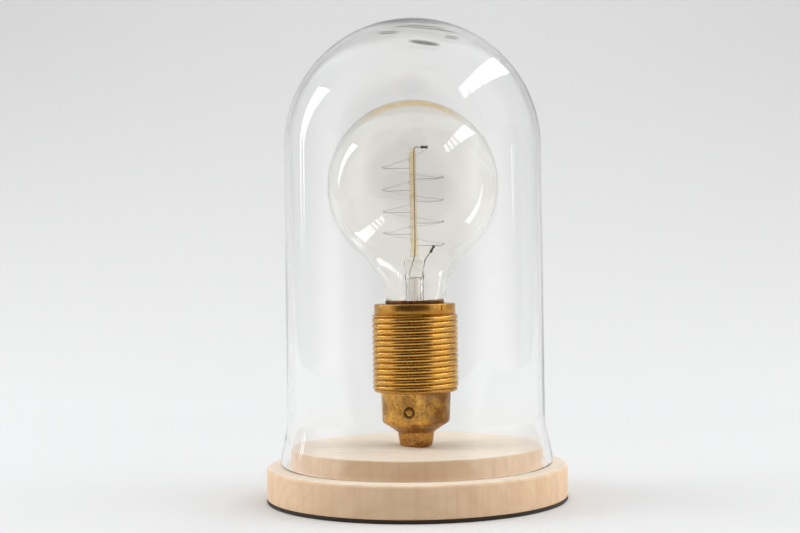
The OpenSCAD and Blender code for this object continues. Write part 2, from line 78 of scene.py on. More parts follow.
pad_top = high("base_pad").z
base_r = high("wood_base").x
step_top = high("wood_base").z
ledge_h = 14.4
ledge_z = pad_top + ledge_h
step_h = step_top - ledge_z
skirt_low, skirt_top = low("holder_shell").z, high("holder_shell").z
skirt_r = high("holder_shell").x
band_low = skirt_top - 4.8
cap_rim_z = high("bulb_cap").z
cap_low_z = low("bulb_cap").z
bulb_top = high("bulb_glass").z
bulb_r = high("bulb_glass").x
neck_end_z = low("bulb_glass").z
rod_low, rod_top = low("glass_rod").z, high("glass_rod").z
dome_top = high("glass_dome").z
rim_z = low("glass_dome").z
rim_r = high("glass_dome").x
flare_out, flare_h = 3.4, 23
dome_r = rim_r - flare_out
dome_wall, dome_gap = 2.5, 1.3
hairline = 0.02
print("ledge", round(ledge_z, 2), "step", round(step_h, 2), "bulb top", round(bulb_top, 2))

# %% [markdown]
# ## The camera
#
# The camera stands a little over half a metre in front of the lamp, at the height of the
# bulb's neck, and looks almost level. It is rolled by less than a degree, as a hand-held
# camera is. It is made first, so that every later look at the lamp uses the same view.

# %% Placing the camera
camera_distance = 0.6556
camera_height = 0.1056
camera_pitch = 0.004
camera_yaw = -0.0100
camera_roll = -0.0149
bpy.ops.object.camera_add(location=(0, -camera_distance, camera_height))
camera = bpy.context.object
camera.name = "camera"
camera.data.lens = 63
camera.data.sensor_width = 36
ahead = Vector((math.sin(camera_yaw) * math.cos(camera_pitch),
                math.cos(camera_yaw) * math.cos(camera_pitch), math.sin(camera_pitch)))
right = Vector((math.cos(camera_yaw), -math.sin(camera_yaw), 0))
up = right.cross(ahead)
tilted_right = right * math.cos(camera_roll) + up * math.sin(camera_roll)
tilted_up = up * math.cos(camera_roll) - right * math.sin(camera_roll)
camera.rotation_euler = Matrix((tilted_right, tilted_up, -ahead)).transposed().to_euler()
bpy.context.scene.camera = camera

# %% [markdown]
# ## Writing shader maths as plain sums
#
# A material's pattern is arithmetic on coordinates. This small class wraps one output of a
# node, so that sums, products and comparisons are written as ordinary expressions, and each
# one adds the Math node that does it.

# %% A number that lives in a shader


class Signal:
    def __init__(self, tree, socket):
        self.tree = tree
        self.socket = socket

    def maths(self, operation, *others):
        node = self.tree.nodes.new("ShaderNodeMath")
        node.operation = operation
        for slot, value in zip(node.inputs, (self, *others)):
            if isinstance(value, Signal):
                self.tree.links.new(value.socket, slot)
            else:
                slot.default_value = value
        return Signal(self.tree, node.outputs[0])

    def __add__(self, other):
        return self.maths("ADD", other)

    def __sub__(self, other):
        return self.maths("SUBTRACT", other)

    def __rsub__(self, other):
        return self.maths("MULTIPLY", -1.0).maths("ADD", other)

    def __mul__(self, other):
        return self.maths("MULTIPLY", other)

    def __truediv__(self, other):
        return self.maths("DIVIDE", other)

    __radd__ = __add__
    __rmul__ = __mul__

    def sine(self):
        return self.maths("SINE")

    def power(self, exponent):
        return self.maths("POWER", exponent)

    def clamp(self):
        return self.maths("MAXIMUM", 0.0).maths("MINIMUM", 1.0)

    def rise(self, start, end):
        node = self.tree.nodes.new("ShaderNodeMapRange")
        node.interpolation_type = "SMOOTHSTEP"
        self.tree.links.new(self.socket, node.inputs["Value"])
        node.inputs["From Min"].default_value = start
        node.inputs["From Max"].default_value = end
        return Signal(self.tree, node.outputs["Result"])


# %% [markdown]
# A finish is one material. Constant properties are set straight on its shader, patterns are
# read from Object coordinates in millimetres, and the few methods below cover the nodes that
# the lamp's finishes need.

# %% A finish and its nodes


class Finish:
    def __init__(self, name, **constants):
        self.material = bpy.data.materials.new(name)
        self.material.use_nodes = True
        self.tree = self.material.node_tree
        self.shader = self.tree.nodes["Principled BSDF"]
        for socket, value in constants.items():
            self.shader.inputs[socket.replace("_", " ")].default_value = value

    def node(self, kind, settings, sockets, output=0):
        node = self.tree.nodes.new(kind)
        for setting, value in settings.items():
            setattr(node, setting, value)
        for socket, value in sockets.items():
            if isinstance(value, Signal):
                self.tree.links.new(value.socket, node.inputs[socket])
            else:
                node.inputs[socket].default_value = value
        return Signal(self.tree, node.outputs[output])

    def place(self, scale=(1, 1, 1), turn=(0, 0, 0)):
        spot = self.node("ShaderNodeTexCoord", {}, {}, "Object")
        stretch = tuple(s / MM for s in scale)
        return self.node("ShaderNodeMapping", {}, {
            "Vector": spot, "Rotation": turn, "Scale": stretch})

    def axes(self):
        spot = self.place()
        split = self.tree.nodes.new("ShaderNodeSeparateXYZ")
        self.tree.links.new(spot.socket, split.inputs[0])
        return [Signal(self.tree, out) for out in split.outputs]

    def noise(self, where, scale, detail=3.0, roughness=0.5, twist=0.0):
        return self.node("ShaderNodeTexNoise", {"normalize": True}, {
            "Vector": where, "Scale": scale, "Detail": detail, "Roughness": roughness,
            "Distortion": twist})

    def blend(self, share, first, second, mode="MIX"):
        node = self.tree.nodes.new("ShaderNodeMix")
        node.data_type = "RGBA"
        node.blend_type = mode
        for slot, value in zip((node.inputs[0], node.inputs[6], node.inputs[7]),
                               (share, first, second)):
            if isinstance(value, Signal):
                self.tree.links.new(value.socket, slot)
            else:
                slot.default_value = value if isinstance(value, float) else (*value, 1)
        return Signal(self.tree, node.outputs[2])

    def bump(self, height, strength, depth):
        return self.node("ShaderNodeBump", {}, {
            "Height": height, "Strength": strength, "Distance": depth * MM})

    def let_light_through(self, share=0.97):
        clear = self.tree.nodes.new("ShaderNodeBsdfTransparent")
        clear.inputs["Color"].default_value = (share, share, share, 1)
        path = self.tree.nodes.new("ShaderNodeLightPath")
        surface = self.shader.outputs[0]
        for ray in ("Is Diffuse Ray", "Is Shadow Ray"):
            mix = self.tree.nodes.new("ShaderNodeMixShader")
            self.tree.links.new(path.outputs[ray], mix.inputs[0])
            self.tree.links.new(surface, mix.inputs[1])
            self.tree.links.new(clear.outputs[0], mix.inputs[2])
            surface = mix.outputs[0]
        self.tree.links.new(surface, self.tree.nodes["Material Output"].inputs["Surface"])

    def feed(self, **links):
        for socket, value in links.items():
            self.tree.links.new(value.socket, self.shader.inputs[socket.replace("_", " ")])
        return self.material


# %% [markdown]
# ## Shapes from a lathe
#
# Most of this lamp was made on a lathe or spun: wood, brass and glass are all round. Half of
# a cross-section is enough to describe such a piece. Its round stretches are arcs, and where
# one shape melts into another, an easing curve starts and ends level.

# %% Arcs and easing


def arc(cx, cz, r, start, end, steps):
    turn = [math.radians(start + (end - start) * i / steps) for i in range(steps + 1)]
    return [(cx + r * math.cos(a), cz + r * math.sin(a)) for a in turn]


def ease(t):
    return t * t * (3 - 2 * t)


# %% [markdown]
# A turned piece starts as one vertex, which is extruded along half of its cross-section and
# then spun about the lamp's axis. The seam is merged, and the faces are turned outwards once,
# while the shell is still one skin. Each finished piece gets its material and the body that it
# rides on.

# %% Drawing and spinning a piece


def start_piece(name):
    bpy.ops.mesh.primitive_plane_add(size=MM)
    piece = bpy.context.object
    piece.name = name
    bpy.ops.object.mode_set(mode="EDIT")
    bpy.ops.mesh.merge(type="CENTER")
    return piece


def draw_outline(outline):
    here = (0, 0)
    for i, (r, z) in enumerate(outline):
        step = ((r - here[0]) * MM, 0, (z - here[1]) * MM)
        if i == 0:
            bpy.ops.transform.translate(value=step)
        else:
            bpy.ops.mesh.extrude_vertices_move(TRANSFORM_OT_translate={"value": step})
        here = (r, z)


def turned(name, outline, steps=192, sharp=30):
    piece = start_piece(name)
    draw_outline(outline)
    bpy.ops.mesh.select_all(action="SELECT")
    bpy.ops.mesh.spin(steps=steps, angle=math.tau, center=(0, 0, 0), axis=(0, 0, 1))
    bpy.ops.mesh.select_all(action="SELECT")
    bpy.ops.mesh.remove_doubles(threshold=0.002 * MM)
    bpy.ops.mesh.normals_make_consistent(inside=False)
    bpy.ops.object.mode_set(mode="OBJECT")
    bpy.ops.object.shade_smooth_by_angle(angle=math.radians(sharp))
    return piece


def select_only(piece):
    bpy.ops.object.select_all(action="DESELECT")
    piece.select_set(True)
    bpy.context.view_layer.objects.active = piece


def finish_piece(piece, body, slot, material, *nodes):
    piece.data.materials.clear()
    piece.data.materials.append(material)
    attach(piece, body)
    if nodes:
        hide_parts(*nodes)
    print(piece.name, len(piece.data.polygons), "faces")


# %% [markdown]
# ## The felt pad
#
# A disc of dark brown felt, glued under the wood, keeps the lamp from scratching the table.
# Its cut edge is soft and a little uneven. The colour is a near-black brown with a fine
# speckle of fibres, and a strong small bump breaks up the light on it.

# %% Felt
felt = Finish("dark felt", Roughness=0.95, Sheen_Weight=0.1, Sheen_Roughness=0.6)
fibres = felt.noise(felt.place((1, 1, 0.6)), 2.6, 6.0, 0.7)
patches = felt.noise(felt.place(), 0.12, 2.0)
felt_colour = felt.blend(fibres.rise(0.3, 0.75), (0.012, 0.007, 0.004), (0.05, 0.03, 0.018))
felt_colour = felt.blend(patches.rise(0.35, 0.8) * 0.5, felt_colour, (0.03, 0.022, 0.018))
felt_finish = felt.feed(Base_Color=felt_colour, Normal=felt.bump(fibres, 0.8, 0.25))

pad = turned("felt_pad", [
    (0, 0), (base_r - 0.7, 0), *arc(base_r - 0.45, 0.45, 0.45, -90, 0, 3),
    *arc(base_r - 0.35, pad_top - 0.37, 0.35, 0, 90, 3), (0, pad_top - hairline)], 256)
finish_piece(pad, "base", "dark_felt", felt_finish, "base_pad")

# %% [markdown]
# ## The wooden base
#
# The base is cut from one plank of pale, close-grained wood and turned to a ledge with a
# raised centre. The grain of the plank runs straight through the disc from side to side, so
# the pattern is a stack of long, slightly wavy layers along X, and the same field shows as
# lines on the flat faces and as soft bars on the turned edge. Fine short pores lie along the
# grain. The raised centre keeps the dome in place, so its width follows from the dome's bore
# at that height.

# %% How wide the raised centre is


def flare_at(height):
    return 0 if height >= flare_h else flare_out * (1 - ease(height / flare_h))


step_r = dome_r + flare_at(step_h) - dome_wall - dome_gap
print("raised centre", round(2 * step_r, 2), "mm across")

# %% [markdown]
# The colour is built up from pale to dark: broad boards, thin layers, a slow figure, upright
# strips on the edge, and pores. The two turned sides are painted a little darker and redder all
# round as painted shade, for upright faces that get less light than the tops, so the distance
# from the lamp's axis picks them out.

# %% Pale wood
wood = Finish("pale wood", Roughness=0.5, Specular_IOR_Level=0.35)
x, y, z = wood.axes()
drift = wood.noise(wood.place((0.2, 1, 1)), 0.03, 2.0, 0.5)
boards = wood.noise(wood.place((0.06, 0.5, 0.2)), 0.5, 3.0, 0.55, 0.6)
layers = (y * 0.9 + z * 0.5 + drift * 30.0).sine() * 0.5 + 0.5
figure = wood.noise(wood.place((0.10, 1.5, 1.5)), 0.4, 4.0, 0.6, 0.3)
flecks = wood.noise(wood.place((0.5, 2.2, 2.2)), 1.5, 3.0, 0.65)
strips = wood.noise(wood.place((1, 1, 0.03)), 0.22, 4.0, 0.65)
radius = (x * x + y * y).power(0.5)
rim_side = radius.rise(base_r - 1.3, base_r - 0.3)
past_step = radius.rise(step_r + 0.1, step_r + 0.3)
step_side = radius.rise(step_r - 0.7, step_r - 0.1) * (1 - past_step)
side_shade_share = (rim_side + step_side).clamp()
wood_colour = wood.blend(boards.rise(0.35, 0.65), (0.93, 0.83, 0.69), (0.88, 0.76, 0.61))
for share, colour in ((layers.rise(0.55, 1.0) * 0.14, (0.66, 0.50, 0.35)),
                      (figure.rise(0.4, 0.7) * 0.35, (0.87, 0.76, 0.63)),
                      (strips.rise(0.42, 0.68) * 0.25, (0.68, 0.51, 0.36)),
                      (flecks.rise(0.58, 0.74) * 0.28, (0.55, 0.37, 0.23))):
    wood_colour = wood.blend(share, wood_colour, colour)
# Painted shade: the turned sides of the ledge and the raised centre are darkened and reddened all
# round.
painted_side_shade = wood.blend(1.0, wood_colour, (0.95, 0.77, 0.61), "MULTIPLY")
wood_colour = wood.blend(side_shade_share, wood_colour, painted_side_shade)
wood_height = flecks * 0.5 + figure * 0.3 + strips * 0.2
wood_finish = wood.feed(
    Base_Color=wood_colour, Roughness=figure * 0.18 + 0.42,
    Normal=wood.bump(wood_height, 0.3, 0.10))

# %% [markdown]
# The outline goes once round the ring of wood: up the nipple's hole, round the recess below,
# round the rim, the ledge and the raised centre. The cord's hole can't be spun, so it is cut
# into the back with two cylinders, a wider one for the lip of the rubber bush.

# %% Turning the base


def round_cutter(radius, start_y, end_y, height):
    bpy.ops.mesh.primitive_cylinder_add(
        vertices=64, radius=radius * MM, depth=(end_y - start_y) * MM,
        location=(0, (start_y + end_y) / 2 * MM, height * MM), rotation=(math.pi / 2, 0, 0))
    return bpy.context.object


def cut_away(piece, cutter):
    cut = piece.modifiers.new("cut", "BOOLEAN")
    cut.operation = "DIFFERENCE"
    cut.object = cutter
    bpy.context.view_layer.objects.active = piece
    bpy.ops.object.modifier_apply(modifier=cut.name)
    bpy.data.objects.remove(cutter)


recess_r, recess_z, nipple_hole_r = 24, step_top - 10.5, 5.08
base = turned("turned_base", [
    (nipple_hole_r, recess_z), (recess_r, recess_z), (recess_r, pad_top),
    *arc(base_r - 0.5, pad_top + 0.5, 0.5, -90, 0, 4),
    *arc(base_r - 1.6, ledge_z - 1.6, 1.6, 0, 90, 8), (step_r + 0.25, ledge_z),
    *arc(step_r + 0.25, ledge_z + 0.25, 0.25, -90, -180, 3),
    *arc(step_r - 0.8, step_top - 0.8, 0.8, 0, 90, 6), (nipple_hole_r + 0.4, step_top),
    (nipple_hole_r, step_top - 0.4), (nipple_hole_r, recess_z)], 256)
inlet_z = (pad_top + recess_z) / 2
bush_hole_r, lip_hole_r, lip_hole_y = 4.28, 5.58, 67.88
in_recess, past_rim = 20, 80
cut_away(base, round_cutter(bush_hole_r, in_recess, past_rim, inlet_z))
cut_away(base, round_cutter(lip_hole_r, lip_hole_y, past_rim, inlet_z))
bpy.ops.object.shade_smooth_by_angle(angle=math.radians(30))
finish_piece(base, "base", "pale_wood", wood_finish, "wood_base")

# %% [markdown]
# ## Brass
#
# The skirt is polished brass that has gone brown in its grooves, and is coloured darker on its
# plain top band.
# The cap below it is older looking, with coppery and dark patches, and is painted darker towards
# its right side as painted shade. One function makes both, with the amount of patina, that shade
# and the colours as its arguments. Metal shows its colour in its reflections, so the pattern
# changes the reflected colour and the roughness, and a faint bump stands for scratches and tool
# marks.

# %% A brass finish


def brass(name, bright, brown, age, smooth, threads=None, grey=(0.30, 0.22, 0.17), painted_right_shade=0.0):
    metal = Finish(name, Metallic=1.0, IOR=1.5)
    cloud = metal.noise(metal.place(), 0.13, 5.0, 0.62, 0.1)
    bloom = metal.noise(metal.place((1, 1, 1), (0.6, 0.2, 0)), 0.16, 4.0, 0.6, 0.2)
    speck = metal.noise(metal.place(), 0.9, 4.0, 0.6)
    brushed = metal.noise(metal.place((1, 1, 12)), 0.5, 2.0)
    stain = (cloud.rise(0.35, 0.72) * age + speck.rise(0.54, 0.66) * age * 0.8).clamp()
    x, y, z = metal.axes()
    if threads:
        root, crest, top = threads
        radius = (x * x + y * y).power(0.5)
        hollow = (1 - radius.rise(root, crest)) * (1 - z.rise(top - 0.3, top + 0.1))
        # The plain band above the thread is coloured darker.
        band = z.rise(top - 0.1, top + 0.1)
        stain = (stain + hollow * 0.45 + band * 0.5).clamp()
    # Painted shade: the colour is darkened towards +X, the lamp's right side.
    if painted_right_shade:
        stain = (stain + x.rise(0, 14) * painted_right_shade).clamp()
    colour = metal.blend(stain, bright, brown)
    colour = metal.blend(bloom.rise(0.42, 0.72) * age * 0.6, colour, grey)
    rough = stain * 0.2 + speck * 0.10 + smooth
    grain = brushed * 0.6 + speck * 0.4
    return metal.feed(Base_Color=colour, Roughness=rough, Normal=metal.bump(grain, 0.25, 0.04))


skirt_brass = brass("skirt brass", (0.75, 0.43, 0.095), (0.46, 0.20, 0.03), 0.35, 0.10,
                    threads=(skirt_r - 0.7, skirt_r - 0.15, band_low))
cap_brass_finish = brass("aged brass", (0.80, 0.43, 0.10), (0.24, 0.10, 0.02), 0.8, 0.14,
                         grey=(0.36, 0.22, 0.13), painted_right_shade=0.6)
# The ring is painted much darker than the cap round it: painted shade for the dark outline of the
# groove round it.
shaded_ring_brass = brass("ring brass", (0.26, 0.13, 0.035), (0.08, 0.04, 0.01), 0.9, 0.3)
rim_brass = brass("bulb cap brass", (0.40, 0.19, 0.05), (0.12, 0.05, 0.015), 1.0, 0.3)
plain_brass = brass("plain brass", (0.80, 0.62, 0.30), (0.45, 0.3, 0.12), 0.4, 0.3)

# %% [markdown]
# ## The brass cap
#
# The lower half of the lampholder is one spun cup: a neck that screws onto the nipple, a
# sloping shoulder, and a side that widens towards the skirt. A raised ring on its front
# takes a small screw. The cup is turned as one closed wall, about a millimetre thick.

# %% Spinning the cap
shoulder_z, side_z = step_top + 6.6, step_top + 12.2
cap_top_z, cap_wall = skirt_low + 4.4, 1.2
cap_r, side_r = 16.4, 15.8
cup = turned("brass_cap", [
    (nipple_hole_r, step_top + hairline), (7.0, step_top + hairline),
    *arc(7.0, step_top + 0.55, 0.5, -90, 0, 3), (7.9, step_top + 2.2), (8.4, shoulder_z - 1.2),
    *arc(10.1, shoulder_z - 1.2, 1.7, 180, 125, 5),
    (11.9, side_z - 3.6), *arc(side_r - 2.2, side_z, 2.2, -50, 0, 7),
    (side_r + 0.12, side_z + 3), (cap_r - 0.1, skirt_low - 1.2), (cap_r, skirt_low - 0.6),
    (cap_r, cap_top_z), (cap_r - cap_wall, cap_top_z), (side_r - cap_wall, side_z + cap_wall),
    (nipple_hole_r, shoulder_z + 1.3), (nipple_hole_r, step_top + hairline)], 192, 40)
finish_piece(cup, "base", "aged_brass", cap_brass_finish, "holder_cap")

# %% [markdown]
# The ring is a short rounded tube and the screw a small turned pin with a slot sawn across
# it. Both are turned upright like everything else, with their heights measured from the
# lamp's axis, and one matrix then lays them down so that they point out of the cap.

# %% The ring and the slotted screw
screw_z, screw_turn = side_z + 4.2, math.radians(-101.5)
outward = Matrix.Rotation(screw_turn, 4, "Z") @ Matrix.Translation((0, 0, screw_z * MM))
outward = outward @ Matrix.Rotation(math.pi / 2, 4, "Y")


def set_outwards(piece):
    select_only(piece)
    piece.matrix_world = outward
    bpy.ops.object.transform_apply(location=True, rotation=True, scale=True)


ring = turned("screw_ring", [
    (1.55, 14.4), (2.8, 14.4), (2.75, 15.9), *arc(2.3, 16.35, 0.4, 0, 90, 3),
    *arc(1.95, 16.35, 0.4, 90, 180, 3), (1.55, 14.4)], 48, 40)
set_outwards(ring)
finish_piece(ring, "base", "aged_brass", shaded_ring_brass)

screw = turned("slotted_screw", [
    (0, 11.4), (1.35, 11.4), (1.35, 15.2), *arc(1.1, 15.3, 0.25, 0, 90, 3), (0.5, 15.64),
    (0, 15.7)], 32, 40)
bpy.ops.mesh.primitive_cube_add(size=MM, location=(0, 0, 15.6 * MM))
slot_cutter = bpy.context.object
slot_width, slot_length = 0.5, 4
slot_cutter.scale = (slot_width, slot_length, 1.0)
cut_away(screw, slot_cutter)
bpy.ops.object.shade_smooth_by_angle(angle=math.radians(30))
set_outwards(screw)
# The screw is painted almost black: painted shade for the recess that it sits in.
shaded_screw_metal = brass("screw metal", (0.11, 0.07, 0.03), (0.06, 0.04, 0.02), 0.8, 0.3)
finish_piece(screw, "base", "screw_brass", shaded_screw_metal, "cap_side_screw")

# %% [markdown]
# ## Threads
#
# The skirt carries a long right-hand thread, and so does the bulb's cap. The wall of each
# goes on from the thread as plain rings, so two helpers find the ring of edges at a height
# and extrude it to a new radius and height.

# %% Rings of edges


def ring_to(radius, height):
    bpy.ops.mesh.extrude_edges_move(TRANSFORM_OT_translate={"value": (0, 0, 0)})
    bpy.ops.object.mode_set(mode="OBJECT")
    for v in bpy.context.object.data.vertices:
        if v.select:
            flat = Vector((v.co.x, v.co.y)).normalized() * radius * MM
            v.co = (flat.x, flat.y, height * MM)
    bpy.ops.object.mode_set(mode="EDIT")


def edge_loop_at(height):
    bpy.ops.mesh.select_all(action="DESELECT")
    bpy.ops.object.mode_set(mode="OBJECT")
    mesh = bpy.context.object.data
    level = [abs(v.co.z - height * MM) < 0.003 * MM for v in mesh.vertices]
    for edge in mesh.edges:
        a, b = edge.vertices
        edge.select = level[a] and level[b]
    bpy.ops.object.mode_set(mode="EDIT")


# %% [markdown]
# One pitch of the thread's profile is swept up a helix with the Screw modifier. The two
# ragged ends are cut square with bisect, and from the top cut the skin is extruded ring by
# ring along the rest of the wall, until its last ring is bridged to the bottom cut.

# %% A threaded shell


def threaded(name, profile, pitch, low_z, high_z, wall, steps=128):
    piece = start_piece(name)
    draw_outline([(r, low_z - pitch + t * pitch) for t, r in profile])
    bpy.ops.object.mode_set(mode="OBJECT")
    helix = piece.modifiers.new("helix", "SCREW")
    helix.angle = math.tau
    helix.screw_offset = pitch * MM
    helix.iterations = math.ceil((high_z - low_z) / pitch) + 1
    helix.steps = helix.render_steps = steps
    bpy.ops.object.modifier_apply(modifier=helix.name)
    bpy.ops.object.mode_set(mode="EDIT")
    bpy.ops.mesh.select_all(action="SELECT")
    bpy.ops.mesh.remove_doubles(threshold=0.004 * MM)
    bpy.ops.mesh.select_mode(type="EDGE")
    for height, upwards in ((low_z, -1), (high_z, 1)):
        bpy.ops.mesh.select_all(action="SELECT")
        bpy.ops.mesh.bisect(plane_co=(0, 0, height * MM), plane_no=(0, 0, upwards),
                            clear_outer=True, threshold=0.001 * MM)
    edge_loop_at(high_z)
    for radius, height in wall:
        ring_to(radius, height)
    bpy.ops.object.mode_set(mode="OBJECT")
    mesh = piece.data
    uses = {}
    for face in mesh.polygons:
        for key in face.edge_keys:
            uses[key] = uses.get(key, 0) + 1
    for edge in mesh.edges:
        edge.select = uses.get(tuple(sorted(edge.vertices)), 0) == 1
    bpy.ops.object.mode_set(mode="EDIT")
    bpy.ops.mesh.bridge_edge_loops()
    bpy.ops.mesh.select_all(action="SELECT")
    bpy.ops.mesh.normals_make_consistent(inside=False)
    bpy.ops.mesh.select_mode(type="VERT")
    bpy.ops.object.mode_set(mode="OBJECT")
    bpy.ops.object.shade_smooth_by_angle(angle=math.radians(50))
    return piece


# %% [markdown]
# The skirt's thread is rolled, so its crests are round and broad and its grooves narrow. The
# list gives the share of the depth that the profile drops at each share of a pitch. The wall
# then runs over the plain band, in at the mouth, down the bore and back round the lower edge.

# %% The threaded skirt
thread_depth = 0.75
rolled = [(0, 1.0), (0.06, 0.88), (0.14, 0.42), (0.22, 0.14), (0.32, 0.02), (0.5, 0),
          (0.68, 0.02), (0.78, 0.14), (0.86, 0.42), (0.94, 0.88), (1, 1.0)]
skirt_profile = [(t, skirt_r - thread_depth * drop) for t, drop in rolled]
skirt_pitch = 2.6
band_r, bore_r = skirt_r - 1.1, skirt_r - 2.25
mouth_r = 15.3
skirt = threaded("threaded_skirt", skirt_profile, skirt_pitch, skirt_low + 2.1, band_low - 0.3, [
    (band_r - 0.15, band_low), (band_r, band_low + 0.25), (band_r, skirt_top - 0.55),
    (band_r - 0.16, skirt_top - 0.16), (band_r - 0.55, skirt_top), (mouth_r + 0.3, skirt_top),
    (mouth_r, skirt_top - 0.3), (mouth_r, skirt_top - 1), (bore_r, skirt_top - 1),
    (bore_r, cap_top_z), (cap_r + 0.1, cap_top_z), (cap_r + 0.1, skirt_low + 0.15),
    (skirt_r - 2.6, skirt_low), (skirt_r - 1.5, skirt_low + 0.15),
    (skirt_r - 0.75, skirt_low + 0.6), (skirt_r - 0.5, skirt_low + 1.1),
    (skirt_r - 0.7, skirt_low + 1.6), (skirt_r - 0.95, skirt_low + 1.9)])
finish_piece(skirt, "base", "bright_brass", skirt_brass, "holder_shell")

# %% [markdown]
# The bulb's thread is a soft wave that is pressed into thin brass. The inside of the cap is
# full of cement there, so it is left plain. Above the last turn the cap opens into a smooth
# collar with a rolled rim.

# %% The bulb's screw cap
screw_r, screw_depth, screw_pitch, screw_turns = 13.1, 1.1, 3.629, 4.5
thread_top = cap_low_z + 0.4 + screw_turns * screw_pitch
waves = 12
cap_profile = [(i / waves, screw_r - screw_depth * (1 - math.cos(math.tau * i / waves)) / 2)
               for i in range(waves + 1)]
root_r = screw_r - screw_depth
bulb_cap = threaded("bulb_screw_cap", cap_profile, screw_pitch, cap_low_z + 1.2, thread_top, [
    (screw_r - 0.1, thread_top + 0.7), (screw_r, thread_top + 1.4),
    (screw_r + 0.1, cap_rim_z - 2.8), (screw_r + 0.65, cap_rim_z - 0.9),
    (screw_r + 0.8, cap_rim_z - 0.4), (screw_r + 0.75, cap_rim_z - 0.05),
    (screw_r + 0.55, cap_rim_z), (screw_r + 0.35, cap_rim_z - 0.1),
    (screw_r - 0.3, cap_rim_z - 2.8), (screw_r - 0.45, thread_top + 1),
    (root_r - 0.45, thread_top), (root_r - 0.45, cap_low_z + 0.1), (root_r - 0.3, cap_low_z),
    (root_r, cap_low_z + 0.3), (root_r + 0.05, cap_low_z + 0.9)], 96)
finish_piece(bulb_cap, "bulb", "cap_brass", rim_brass, "bulb_cap")

# %% [markdown]
# ## Glass
#
# Clear glass is almost nothing but reflections and bent light, so it is modelled with both
# of its walls and a refracting shader. The dome's glass is neutral, with a trace of bump so
# that reflections wander as they do in blown glass. Thin grey streaks near its top front are
# painted reflections of the dark lines that the uneven glass where the crown was closed shows,
# and the last few millimetres of the crown are painted a little greyer as a painted reflection.
# The bulb's glass is faintly warm, and its crown shows an amber band where the glass is seen edge
# on.

# %% Clear dome glass and warm bulb glass


def clear_glass(name, colour, ior, wave, depth, **constants):
    glass = Finish(name, Roughness=0.0, IOR=ior, Transmission_Weight=1.0, **constants)
    glass.let_light_through()
    ripple = glass.noise(glass.place((1, 1, 0.35)), wave, 2.0, 0.4)
    tint = glass.blend(ripple * 0.3, colour, tuple(c * 0.995 for c in colour))
    return glass, tint, glass.bump(ripple, 0.3, depth)


dome_glass, dome_tint, dome_wave = clear_glass("dome glass", (0.99, 0.993, 0.988), 1.47, 0.02, 0.4)
x, y, z = dome_glass.axes()
drop = dome_top - z
# Painted reflections: thin dark streaks are painted into the glass colour on the front of the
# crown.
painted_marks = []
for near_x, depth, half_wide, half_high, tilt in (
        (4, 3.7, 12, 0.5, 0.03), (4, 6, 13, 0.5, 0.06), (7, 9.8, 18, 0.45, 0.118),
        (-10, 12.2, 6, 0.5, 0.02), (18, 14.8, 4, 0.4, 0.1), (6, 18.2, 8, 1.1, 0.15)):
    across = (x - near_x) / half_wide
    along = (drop - (x - near_x) * tilt - depth) / half_high
    painted_marks.append((1 - across * across - along * along).rise(0.0, 0.7))
painted_streaks = painted_marks[0]
for mark in painted_marks[1:]:
    painted_streaks = painted_streaks + mark
in_front = 1 - y.rise(-2, 0)
dome_tint = dome_glass.blend((painted_streaks * in_front).clamp(), dome_tint, (0.2, 0.2, 0.18))
# Painted reflection: the last few millimetres of the crown are painted greyer and greener, for the
# grey crescent that the crown shows.
dome_tint = dome_glass.blend(1 - drop.rise(1, 9), dome_tint, (0.88, 0.89, 0.82))
dome_finish = dome_glass.feed(Base_Color=dome_tint, Normal=dome_wave)

globe, globe_tint, globe_wave = clear_glass("globe glass", (0.998, 0.989, 0.966), 1.45, 0.03, 0.2)
edge_on = globe.node("ShaderNodeLayerWeight", {}, {"Blend": 0.5}, "Facing")
height = globe.axes()[2]
amber = height.rise(bulb_top - 13, bulb_top - 4) * edge_on.rise(0.60, 0.74)
globe_colour = globe.blend(amber, globe_tint, (0.93, 0.62, 0.22))
globe_finish = globe.feed(Base_Color=globe_colour, Normal=globe_wave)

stem_glass, stem_tint, stem_wave = clear_glass("stem glass", (0.99, 0.975, 0.955), 1.5, 0.3, 0.06)
stem_finish = stem_glass.feed(Base_Color=stem_tint, Normal=stem_wave)

amber_rod, rod_tint, rod_wave = clear_glass("amber rod glass", (0.99, 0.87, 0.62), 1.5, 0.5, 0.05)
rod_cloud = amber_rod.noise(amber_rod.place((3, 3, 0.3)), 0.5, 2.0)
rod_colour = amber_rod.blend(rod_cloud.rise(0.3, 0.7) * 0.6, rod_tint, (0.93, 0.72, 0.42))
rod_finish = amber_rod.feed(Base_Color=rod_colour, Normal=rod_wave)

# %% [markdown]
# ## The dome
#
# The dome is a drawn glass tube whose top is blown round, so its crown is thicker than its
# wall, and its cut rim is flared and fire-polished to a bead. The outline runs up the outside
# and down the inside as one line. The crown's extra thickness is a smooth hump on the inside.

# %% Turning the dome
dome_z = dome_top - dome_r


def crown_swell(radius):
    return 0.3 * (1 - ease(min(1, radius / 50)))


def dome_side(inset):
    start = dome_wall * 0.75
    heights = [start + (flare_h - start) * i / 14 for i in range(15)]
    flare = [(dome_r + flare_at(h) - inset, rim_z + h) for h in heights]
    straight = [(dome_r - inset, rim_z + flare_h + (dome_z - rim_z - flare_h) * i / 6)
                for i in range(1, 6)]
    return flare + straight


